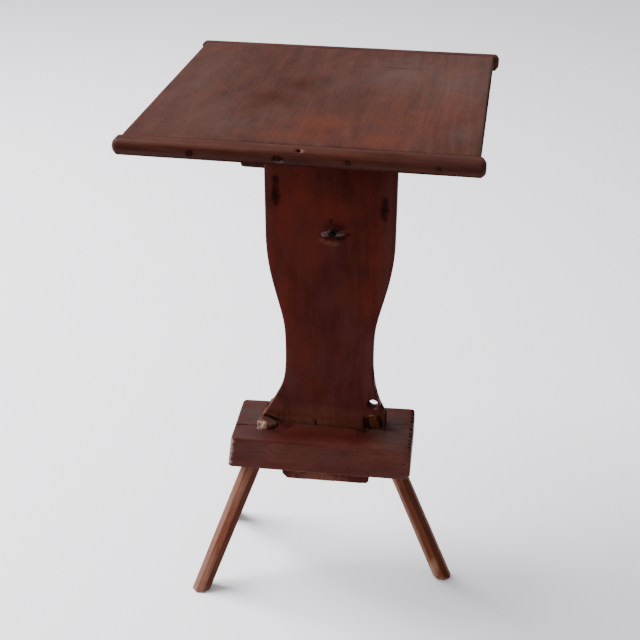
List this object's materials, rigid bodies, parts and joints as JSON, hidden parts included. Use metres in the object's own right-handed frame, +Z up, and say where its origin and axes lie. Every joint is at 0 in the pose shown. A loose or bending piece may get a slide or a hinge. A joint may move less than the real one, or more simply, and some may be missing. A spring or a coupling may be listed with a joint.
{
  "type": "side table",
  "caption": "Small plank side table: square top with batten ends on a vase-shaped board, tenoned into a thick block on splayed legs, with a height slide clamped by a wing nut.",
  "frame": {"origin": "centre of the table's footprint on the floor, midway between the ends of the top", "axes": "+Z up, +X to the right and +Y to the back, seen from the side with the wing nut"},
  "size_m": [0.36, 0.362, 0.656],
  "materials": {
    "top_wood": "old stained wood, worn satin",
    "batten_wood": "old stained wood, satin",
    "hidden_wood": "unpolished stained wood",
    "pedestal_wood": "red-brown stain, satin",
    "block_wood": "brown stain, worn",
    "leg_wood": "shaved wood, thin stain",
    "raw_wood": "broken, unstained",
    "nail_iron": "black wrought iron",
    "screw_steel": "dull steel",
    "bolt_iron": "dark iron",
    "wing_nut_iron": "cast iron, rubbed bright on the ears"
  },
  "bodies": {
    "stand": {"pedestal_plank": "pedestal_wood", "base_block": "block_wood", "toe_nail": "nail_iron", "front_left_wedge": "raw_wood", "front_left_leg": "leg_wood", "rear_left_leg": "leg_wood", "right_leg": "leg_wood", "left_guide_strip": "hidden_wood", "right_guide_strip": "hidden_wood", "guide_strip_nails": "nail_iron", "clamp_bolt": "bolt_iron", "clamp_washer": "bolt_iron"},
    "top": {"top_board": "top_wood", "front_batten": "batten_wood", "rear_batten": "batten_wood", "front_batten_nails": "nail_iron", "rear_batten_nails": "nail_iron", "slide_board": "hidden_wood", "top_cleat": "hidden_wood", "cleat_top_screws": "screw_steel", "cleat_board_screws": "screw_steel"},
    "wing_nut": {"wing_nut": "wing_nut_iron"}
  },
  "joints": [
    {"name": "top_slide", "type": "slide", "parent": "stand", "child": "top", "axis": [0, 0, 1], "range_m": [0, 0.1]},
    {"name": "wing_nut_turn", "type": "hinge", "parent": "stand", "child": "wing_nut", "pos_m": [0.0121, -0.012, 0.4965], "axis": [0, -1, 0], "continuous": true}
  ]
}
